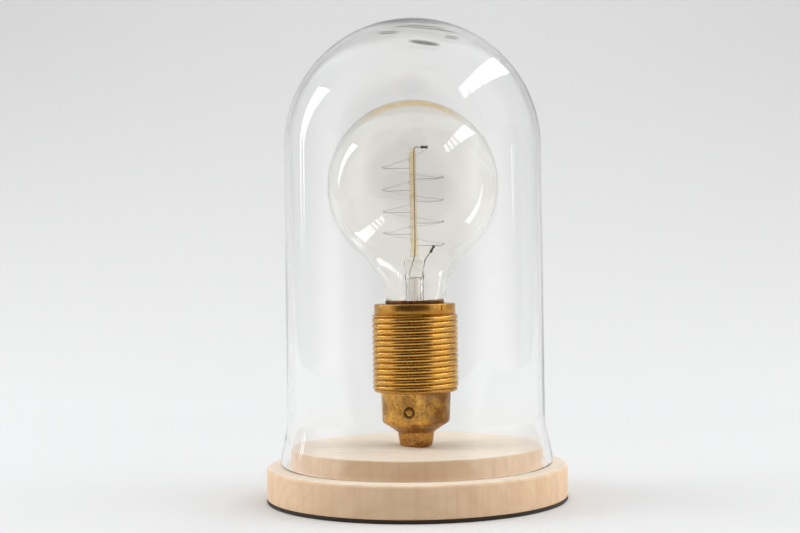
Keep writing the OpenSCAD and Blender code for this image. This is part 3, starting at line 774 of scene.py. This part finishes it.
outer = dome_side(0) + arc(0, dome_z, dome_r, 0, 90, 40)
inner_arc = []
inner_r = dome_r - dome_wall
for r, z in arc(0, dome_z, inner_r, 90, 0, 60):
    share = 1 - crown_swell(r) / inner_r
    inner_arc.append((r * share, dome_z + (z - dome_z) * share))
inner = inner_arc + dome_side(dome_wall)[::-1]
bead = dome_wall / 2
bead_x = dome_r + flare_at(bead) - bead
rim_line = arc(bead_x, rim_z + bead, bead, 180, 360, 10)
dome = turned("glass_bell", rim_line + outer + inner + rim_line[:1], 256, 60)
print("dome wall", dome_wall, "mm, swelling to", dome_wall + crown_swell(0), "at the crown")

# %% [markdown]
# Hand-made glass is never quite even. The inside of the dome is let wander by a tenth of a
# millimetre, and two lumps are pushed down on the inside of its crown: a flat button, where
# the glass was closed, and a small lens behind it.

# %% Making the dome's inside uneven
button, button_r, button_slope, button_depth = Vector((4.5, 0, 0)) * MM, 12, 4, 0.35
lens, lens_wide, lens_deep, lens_depth = Vector((6, 22, 0)) * MM, 5, 3, 0.25
slow_wander, quick_wander = 0.10, 0.06
steady_r, plain_rim = 10, 4
for v in dome.data.vertices:
    flat = Vector((v.co.x, v.co.y, 0))
    turn = math.atan2(v.co.y, v.co.x)
    to_axis = Vector((0, 0, dome_z * MM)) if v.co.z > dome_z * MM else Vector((0, 0, v.co.z))
    inside = (v.co - to_axis).length < (dome_r - dome_wall * 0.5) * MM
    if inside and v.co.z > (rim_z + plain_rim) * MM:
        height = v.co.z / MM
        wander = slow_wander * math.sin(2 * turn + height / 37)
        wander += quick_wander * math.sin(5 * turn - height / 23)
        fade = min(1, flat.length / (steady_r * MM))
        v.co.x *= 1 + wander * fade / dome_r
        v.co.y *= 1 + wander * fade / dome_r
        if v.co.z > dome_z * MM:
            past_button = (flat - button).length / MM - button_r
            slope = ease(min(1, max(0, past_button / button_slope)))
            v.co.z -= button_depth * MM * (1 - slope)
            spot = (flat - lens) / MM
            bulge = math.exp(-(spot.x / lens_wide) ** 2 - (spot.y / lens_deep) ** 2)
            v.co.z -= lens_depth * MM * bulge
finish_piece(dome, "dome", "dome_glass", dome_finish, "glass_dome")

# %% [markdown]
# ## The globe
#
# The bulb's glass is blown thin, and its neck flows into the globe in one long curve that
# touches both. The centre of that curve follows from the two radii. The neck narrows again
# where it goes down into the cap and is sealed to the stem.

# %% Blowing the globe
neck_r, neck_curve, glass_t = 13.9, 34, 0.8
curve_z = cap_rim_z - 2.7
bulb_z = curve_z + math.sqrt((bulb_r + neck_curve) ** 2 - (neck_r + neck_curve) ** 2)
curve_x = neck_curve + neck_r
meet = math.degrees(math.atan2(bulb_z - curve_z, curve_x))
curve_start = math.degrees(math.asin((cap_rim_z + 1.2 - curve_z) / neck_curve))
neck_end_r = 11.05


def globe_outline(inset):
    neck = [(neck_end_r - inset, neck_end_z), (neck_end_r - inset, thread_top + 0.5),
            (screw_r - 0.9 - inset, cap_rim_z - 2.6), (screw_r - 0.25 - inset, cap_rim_z - 0.8),
            (screw_r + 0.35 - inset, cap_rim_z + 0.4)]
    curve = arc(curve_x, curve_z, neck_curve + inset, 180 - curve_start, 180 - meet, 16)
    ball = arc(0, bulb_z, bulb_r - inset, -meet, 90, 56)
    return neck + curve + ball[1:]


globe_glass = turned("globe", globe_outline(0) + globe_outline(glass_t)[::-1]
                     + globe_outline(0)[:1], 224, 50)
finish_piece(globe_glass, "bulb", "bulb_glass", globe_finish, "bulb_glass")

# %% [markdown]
# ## The stem, the pumping tube and the rod
#
# The mount inside the bulb stands on a glass stem. Its foot is flared and melted to the
# neck, its top is squeezed flat around the two leads, and an amber rod stands on it. The
# stem is turned like the rest, and then its top is squeezed: a vertex above the waist is
# moved out along X and in along Y.

# %% Turning and pinching the stem
press_top = rod_low
press_low = press_top - 9.5
foot_r, stem_r = neck_end_r - glass_t - 0.1, 4.2
press_wide, press_thick, press_lump = 4.5, 2.1, 0.10
stem = turned("stem", [
    (foot_r, neck_end_z), (foot_r - 0.9, neck_end_z + 0.9), (6.6, neck_end_z + 3.2),
    (stem_r + 0.4, neck_end_z + 5.2), (stem_r, neck_end_z + 7), (stem_r, press_low - 2.5),
    (stem_r, press_low), (stem_r, press_low + 3), (stem_r, press_top - 3),
    *arc(stem_r - 1.6, press_top - 1.7, 1.6, 0, 90, 5), (0, press_top - 0.1), (0, press_low - 0.5),
    (stem_r - 1.5, press_low - 0.35), (stem_r - 1, press_low - 1.1), (stem_r - 1, neck_end_z + 7),
    (5.4, neck_end_z + 3.6), (foot_r - 1.6, neck_end_z + 0.6), (foot_r - 0.8, neck_end_z - 0.05),
    (foot_r, neck_end_z)], 64, 60)
for v in stem.data.vertices:
    squeeze = ease(min(1, max(0, (v.co.z / MM - press_low + 3) / 5)))
    lump = press_lump * math.sin(v.co.z / MM * 1.1) * squeeze
    v.co.x *= 1 + squeeze * (press_wide / stem_r - 1) + lump
    v.co.y *= 1 + squeeze * (press_thick / stem_r - 1) - lump
finish_piece(stem, "bulb", "stem_glass", stem_finish, "stem_flare")

# %% [markdown]
# The pumping tube hangs inside the stem, sealed and rounded below. The rod is solid,
# wider where it is melted to the press, and its width wanders a little between the hooks.

# %% Turning the tube and the rod
pump_low = low("exhaust_tube").z
pump = turned("pumping_tube", [
    (0, pump_low), *arc(0, pump_low + 1.6, 1.6, -80, 0, 5), (1.6, press_low - 1.2),
    (1.1, press_low - 1.2), (1.1, pump_low + 3), (0, pump_low + 2)], 32, 60)
finish_piece(pump, "bulb", "stem_glass", stem_finish, "exhaust_tube")

rod_r = 1.6
rod = turned("rod", [
    (0, rod_low + 0.05), (1.9, rod_low + 0.05), (1.75, rod_low + 0.8), (rod_r, rod_low + 2.5),
    *[(rod_r + 0.06 * math.sin(i * 1.9), rod_low + 4 + i * 3.4) for i in range(13)],
    *arc(0.3, rod_top - 1.3, 1.3, 0, 80, 5), (0, rod_top)], 48, 60)
finish_piece(rod, "bulb", "amber_rod", rod_finish, "glass_rod")

# %% [markdown]
# ## Wires
#
# Leads, hooks and filament are all wire. Each has the same two-tone metal, with a fine grain
# that changes its colour and its gloss.

# %% Wire finishes


def wire_metal(name, colour, dark, rough):
    metal = Finish(name, Metallic=1.0)
    grain = metal.noise(metal.place(), 1.6, 3.0)
    return metal.feed(Base_Color=metal.blend(grain.rise(0.35, 0.7), colour, dark),
                      Roughness=grain * 0.2 + rough)


hook_metal = wire_metal("hook wire", (0.42, 0.41, 0.40), (0.2, 0.19, 0.19), 0.35)
lead_metal = wire_metal("lead wire", (0.40, 0.30, 0.21), (0.15, 0.10, 0.07), 0.4)
clamp_metal = wire_metal("clamp metal", (0.12, 0.11, 0.11), (0.03, 0.03, 0.03), 0.45)
filament_metal = wire_metal("filament", (0.33, 0.31, 0.30), (0.2, 0.19, 0.18), 0.4)

# %% [markdown]
# A wire is a curve with a round bevel that is turned into a mesh, with its centre line drawn
# through a few points. The hooks end in a small eye, and sixteen of them climb round the rod
# a quarter turn apart.

# %% Drawing wires


def wire(name, lines, radius, sides=8, smooth=True):
    curve = bpy.data.curves.new(name, "CURVE")
    curve.dimensions = "3D"
    curve.bevel_depth = radius * MM
    curve.bevel_resolution = max(0, sides // 2 - 2)
    curve.resolution_u = 4
    curve.use_fill_caps = True
    for points in lines:
        spline = curve.splines.new("NURBS" if smooth else "POLY")
        spline.points.add(len(points) - 1)
        for slot, p in zip(spline.points, points):
            slot.co = (p[0] * MM, p[1] * MM, p[2] * MM, 1)
            slot.radius = p[3] if len(p) > 3 else 1
        if smooth:
            spline.order_u = 3
            spline.use_endpoint_u = True
    piece = bpy.data.objects.new(name, curve)
    bpy.context.scene.collection.objects.link(piece)
    select_only(piece)
    bpy.ops.object.convert(target="MESH")
    return bpy.context.object


hook_count, filament_r, hook_turn = 16, 14.0, -8
turn_rise = 10.3
hook_low, hook_rise = rod_low + 5, turn_rise / 4


def hook_spot(k, radius, lift=0.0):
    a = math.radians(hook_turn + 90 * k)
    return (radius * math.cos(a), radius * math.sin(a), hook_low + k * hook_rise + lift)


hook_lines = []
for k in range(hook_count):
    droop = -0.25 + 0.5 * ((k * 7) % 5) / 4
    eye = [(filament_r - 1.3, droop), (filament_r - 0.2, droop + 0.15),
           (filament_r + 0.35, droop + 0.7), (filament_r - 0.1, droop + 1.15),
           (filament_r - 0.55, droop + 0.7)]
    hook_lines.append([hook_spot(k, 0.9), hook_spot(k, 3, droop * 0.2),
                       hook_spot(k, 9, droop * 0.7)] + [hook_spot(k, r, h) for r, h in eye])
hooks = wire("hooks", hook_lines, 0.11, 6)
finish_piece(hooks, "bulb", "hook_wire", hook_metal, "support_hooks")

# %% [markdown]
# One lead runs up the rod and bends over at its top, and the other bends outwards just above
# the press. Both are thinner inside the stem. A small folded clamp at the end of each grips
# the filament: a flattened pin, waisted in the middle by the pliers.

# %% The two leads and their clamps
top_clamp = Vector((5.6, -0.2, rod_top + 0.8))
low_clamp = Vector((8.5, -0.4, rod_low + 3.4))
long_lead = wire("long_lead", [[
    (-2.7, 0.2, cap_rim_z - 8, 0.5), (-2.6, 0.1, cap_rim_z + 3, 0.5), (-2.4, -0.1, press_low, 0.5),
    (-1.6, -0.4, press_low + 4, 0.7), (0.2, -1.0, press_top), (0.5, -1.85, rod_low + 4),
    (0.55, -1.8, rod_low + 25), (0.6, -1.8, rod_top - 4), (0.8, -1.3, rod_top + 0.4),
    (1.8, -0.5, rod_top + 0.9), (top_clamp.x - 1.8, -0.2, top_clamp.z)]], 0.22)
short_lead = wire("short_lead", [[
    (2.6, 0.2, cap_rim_z - 8, 0.5), (2.7, 0.1, cap_rim_z + 3, 0.5), (2.9, 0, press_low, 0.5),
    (4.1, -0.1, press_top - 6), (4.7, -0.2, press_top - 3.2), (4.9, -0.3, press_top - 2),
    (5.6, -0.3, press_top - 0.4), (7.6, -0.4, press_top + 2.0)]], 0.26)
finish_piece(long_lead, "bulb", "lead_wire", lead_metal, "long_lead_wire")
finish_piece(short_lead, "bulb", "lead_wire", lead_metal, "short_lead_wire")


def clamp(name, centre, tilt):
    bpy.ops.mesh.primitive_cylinder_add(vertices=16, radius=0.55 * MM, depth=3.2 * MM)
    piece = bpy.context.object
    piece.name = name
    bpy.ops.object.mode_set(mode="EDIT")
    bpy.ops.mesh.select_all(action="SELECT")
    bpy.ops.transform.resize(value=(1.15, 0.6, 1))
    bpy.ops.mesh.subdivide(number_cuts=3)
    bpy.ops.object.mode_set(mode="OBJECT")
    half_long = 1.6
    for v in piece.data.vertices:
        pinch = 1 - 0.25 * math.cos(v.co.z / (half_long * MM) * math.pi)
        v.co.x *= pinch
        v.co.y *= 2 - pinch
    edge = piece.modifiers.new("edge", "BEVEL")
    edge.width = 0.12 * MM
    edge.segments = 2
    bpy.ops.object.modifier_apply(modifier=edge.name)
    piece.matrix_world = Matrix.Translation(centre * MM) @ Matrix.Rotation(tilt, 4, "Y")
    bpy.ops.object.transform_apply(location=True, rotation=True, scale=True)
    bpy.ops.object.shade_smooth_by_angle(angle=math.radians(40))
    return piece


upper_clamp = clamp("upper_clamp", top_clamp, math.pi / 2)
lower_clamp = clamp("lower_clamp", low_clamp, math.radians(33))
finish_piece(upper_clamp, "bulb", "clamp_metal", clamp_metal, "filament_clamps")
finish_piece(lower_clamp, "bulb", "clamp_metal", clamp_metal)

# %% [markdown]
# ## The filament
#
# The filament is a very fine wire that is itself wound into a long thin coil, and the coil
# hangs from hook to hook with a slight sag. A centre line is drawn from clamp to clamp over
# the hooks, and the wire is wound round that line, with only four sides and seven steps a
# turn, because more than a thousand turns fit on it.

# %% Winding the filament


def centre_line():
    spacing, bow_out, sag = 0.6, 0.9, 0.45
    stops = [low_clamp + Vector((0.8, 0, 1.2))]
    stops += [Vector(hook_spot(k, filament_r + 0.05, 0.65)) for k in range(hook_count)]
    stops += [top_clamp + Vector((1.6, 0, 0))]
    line = []
    for a, b in zip(stops, stops[1:]):
        pieces_between = max(4, int((b - a).length / spacing))
        for i in range(pieces_between):
            t = i / pieces_between
            bow = 4 * t * (1 - t)
            spot = a.lerp(b, t)
            flat = Vector((spot.x, spot.y, 0))
            out = flat.normalized() * bow_out * bow if flat.length > 0.001 else Vector()
            line.append(spot + out - Vector((0, 0, sag * bow)))
    return line + [stops[-1]]


def wind(line, coil_r, pitch, steps):
    wound, travelled = [], 0.0
    for a, b in zip(line, line[1:]):
        along = (b - a).normalized()
        side = along.cross(Vector((0, 0, 1))).normalized()
        lift = side.cross(along)
        length = (b - a).length
        count = max(1, round(length / pitch * steps))
        for i in range(count):
            turn = math.tau * (travelled + length * i / count) / pitch
            spot = a.lerp(b, i / count)
            wound.append(spot + coil_r * (math.cos(turn) * side + math.sin(turn) * lift))
        travelled += length
    return wound


coil_r, coil_pitch, coil_steps, coil_wire_r = 0.11, 0.27, 7, 0.022
wound = wind(centre_line(), coil_r, coil_pitch, coil_steps)
coil = wire("filament_coil", [wound], coil_wire_r, 4, smooth=False)
finish_piece(coil, "bulb", "filament", filament_metal, "filament")

# %% [markdown]
# ## Finishes for the frame's own pieces
#
# The small parts inside the lampholder and under the base keep the frame's own shapes. They
# still need real finishes, because the bulb can be screwed out and the dome lifted off:
# fired ceramic, zinc-plated steel, rubber, black glass, cement, tin and spring bronze.

# %% Ceramic, rubber, cement and the metals


def speckled(name, colour, dark, rough, bump, **constants):
    body = Finish(name, **constants)
    cloud = body.noise(body.place(), 0.25, 4.0, 0.6)
    fine = body.noise(body.place(), 2.2, 4.0, 0.6)
    shade = body.blend(cloud.rise(0.35, 0.7), colour, dark)
    shade = body.blend(fine.rise(0.6, 0.8) * 0.4, shade, dark)
    return body.feed(Base_Color=shade, Roughness=fine * 0.15 + rough,
                     Normal=body.bump(fine, 0.3, bump))


inner_finishes = {
    "ceramic": speckled("fired ceramic", (0.82, 0.78, 0.69), (0.70, 0.65, 0.55), 0.28, 0.03,
                        Coat_Weight=0.3, Coat_Roughness=0.2),
    "zinc_steel": speckled("zinc plate", (0.62, 0.63, 0.65), (0.42, 0.42, 0.44), 0.28, 0.02,
                           Metallic=1.0),
    "black_rubber": speckled("black rubber", (0.02, 0.02, 0.021), (0.035, 0.035, 0.035), 0.6, 0.04),
    "black_glass": speckled("black glass", (0.006, 0.006, 0.008), (0.012, 0.012, 0.014), 0.04, 0.01,
                            Coat_Weight=0.5),
    "cement": speckled("cement", (0.72, 0.67, 0.56), (0.55, 0.5, 0.4), 0.8, 0.1),
    "solder": speckled("tin", (0.58, 0.58, 0.57), (0.38, 0.38, 0.37), 0.3, 0.05, Metallic=1.0),
    "spring_bronze": speckled("spring bronze", (0.74, 0.47, 0.27), (0.5, 0.28, 0.14), 0.25, 0.02,
                              Metallic=1.0),
    "plain_brass": plain_brass,
}
slots = {s["node"]: s["material_slot"] for s in frame["record"]["subparts"]}
for node, part in frame["nodes"].items():
    if not part.hide_render:
        part.data.materials.clear()
        part.data.materials.append(inner_finishes[slots[node]])
        print("frame piece", node, "->", slots[node])

# %% [markdown]
# ## The room
#
# The lamp stands on a white paper sweep: a flat sheet that curves up behind it, so that no
# horizon shows. It is a bent strip, extruded sideways and smoothed, and measured in metres.

# %% The paper sweep
front_edge, back_edge, bend_r, half_width, sweep_top = -0.34, 0.5, 0.6, 0.9, 3
sweep = start_piece("paper_sweep")
bend = [math.radians(6 * i) for i in range(1, 16)]
draw_outline([(y / MM, z / MM) for y, z in [
    (front_edge, 0), (back_edge, 0),
    *[(back_edge + bend_r * math.sin(a), bend_r * (1 - math.cos(a))) for a in bend],
    (back_edge + bend_r, sweep_top)]])
bpy.ops.mesh.select_all(action="SELECT")
bpy.ops.transform.rotate(value=-math.pi / 2, orient_axis="Z", center_override=(0, 0, 0))
bpy.ops.transform.translate(value=(-half_width, 0, 0))
bpy.ops.mesh.extrude_edges_move(TRANSFORM_OT_translate={"value": (2 * half_width, 0, 0)})
bpy.ops.mesh.select_all(action="SELECT")
bpy.ops.mesh.normals_make_consistent(inside=False)
bpy.ops.object.mode_set(mode="OBJECT")
bpy.ops.object.shade_smooth()
print("sweep from", [round(c, 2) for c in sweep.bound_box[0]], "to",
      [round(c, 2) for c in sweep.bound_box[6]])
paper = Finish("white paper", Roughness=0.9)
tooth = paper.noise(paper.place(), 0.4, 3.0)
paper_finish = paper.feed(Base_Color=paper.blend(tooth, (0.76, 0.76, 0.76), (0.74, 0.74, 0.74)))
sweep.data.materials.append(paper_finish)

# %% [markdown]
# ## Light
#
# Soft daylight comes from two sides. A row of four panes runs along the right wall, high up,
# and a leaning three-cornered patch of sky glows on the left; both show as bright shapes in
# the glass. Two soft fills and a wash on the paper add light that reflections don't show, so
# that brightness and reflections can be set apart from each other.

# %% Windows


def pane(name, centre, width, height, facing, power):
    bpy.ops.object.light_add(type="AREA", location=centre)
    light = bpy.context.object
    light.name = name
    light.data.shape = "RECTANGLE"
    light.data.size = width
    light.data.size_y = height
    light.data.energy = power * width * height
    light.data.color = daylight
    light.rotation_euler = Vector(facing).to_track_quat("-Z", "Y").to_euler()
    light.visible_camera = False


def fill(name, centre, size, facing, power):
    pane(name, centre, size, size, facing, power)
    bpy.context.object.visible_glossy = False
    bpy.context.object.visible_transmission = False


daylight = (0.97, 1.0, 1.02)
wall_x, pane_z, pane_height, pane_power = 1.5, 1.70, 0.5, 15
pane_spans = [(-1.05, -0.80), (-0.68, -0.45), (-0.33, -0.14), (-0.02, 2.4)]
for i, (start, end) in enumerate(pane_spans):
    pane(f"right_pane_{i}", (wall_x, (start + end) / 2, pane_z), end - start, pane_height,
         (-1, 0, 0), pane_power)
fill("left_fill", (-1.3, 0.0, 0.7), 0.7, (1.3, 0, -0.65), 13)
fill("right_fill", (1.3, -0.1, 0.7), 0.7, (-1.3, 0.1, -0.65), 7)
fill("paper_wash", (0, 0.42, 0.95), 0.6, (0, 1, -0.1), 4.5)

window_corner = (-2.7, 0.45, 2.15)
window_edges = ((-1.6, 1.72, 1.1), (0, 0, -3.1))
window = start_piece("left_window")
bpy.ops.transform.translate(value=window_corner)
for step in window_edges:
    bpy.ops.mesh.extrude_vertices_move(TRANSFORM_OT_translate={"value": step})
bpy.ops.mesh.select_all(action="SELECT")
bpy.ops.mesh.edge_face_add()
bpy.ops.object.mode_set(mode="OBJECT")
glow = Finish("window glow", Emission_Color=(*daylight, 1), Emission_Strength=4.2)
window.data.materials.append(glow.material)

# %% [markdown]
# The room itself is the world. It is dark and warm in front of the lamp, which gives the
# polished brass its brown middle, bright at the sides, grey behind and white overhead. Each
# fade compares a direction with the way a ray looks, and lays one colour over
# the fade before it.

# %% The room's own light
world = bpy.data.worlds.new("room")
bpy.context.scene.world = world
world.use_nodes = True
room = world.node_tree
way = room.nodes.new("ShaderNodeTexCoord")


def room_fade(direction, start, end, below, above):
    reach = room.nodes.new("ShaderNodeVectorMath")
    reach.operation = "DOT_PRODUCT"
    reach.inputs[1].default_value = direction
    room.links.new(way.outputs["Generated"], reach.inputs[0])
    fade = room.nodes.new("ShaderNodeMapRange")
    fade.interpolation_type = "SMOOTHSTEP"
    fade.inputs["From Min"].default_value = start
    fade.inputs["From Max"].default_value = end
    room.links.new(reach.outputs["Value"], fade.inputs["Value"])
    mix = room.nodes.new("ShaderNodeMix")
    mix.data_type = "RGBA"
    room.links.new(fade.outputs["Result"], mix.inputs[0])
    for slot, value in ((mix.inputs[6], below), (mix.inputs[7], above)):
        if isinstance(value, tuple):
            slot.default_value = (*value, 1)
        else:
            room.links.new(value, slot)
    return mix.outputs[2]


dark_front, bright_sides = (0.035, 0.014, 0.004), (1.2, 1.19, 1.18)
grey_back, white_overhead = (0.68, 0.69, 0.70), (1.05, 1.06, 1.07)
sides = room_fade((0.156, 0.988, 0), -0.74, -0.4, dark_front, bright_sides)
walls = room_fade((0, 1, 0), 0.0, 0.3, sides, grey_back)
ceiling = room_fade((0, 0.35, 0.94), 0.6, 0.85, walls, white_overhead)
room.links.new(ceiling, room.nodes["Background"].inputs["Color"])
bpy.context.scene.view_settings.view_transform = "Standard"

# %% [markdown]
# A ray that crosses the dome, the bulb and the stem meets sixteen faces of glass, which is
# more than a render follows at first. The limits are raised, or the stem would turn black.

# %% Letting rays through all the glass
followed_faces = 24
bpy.context.scene.cycles.max_bounces = followed_faces
bpy.context.scene.cycles.transmission_bounces = followed_faces
bpy.context.scene.cycles.transparent_max_bounces = followed_faces
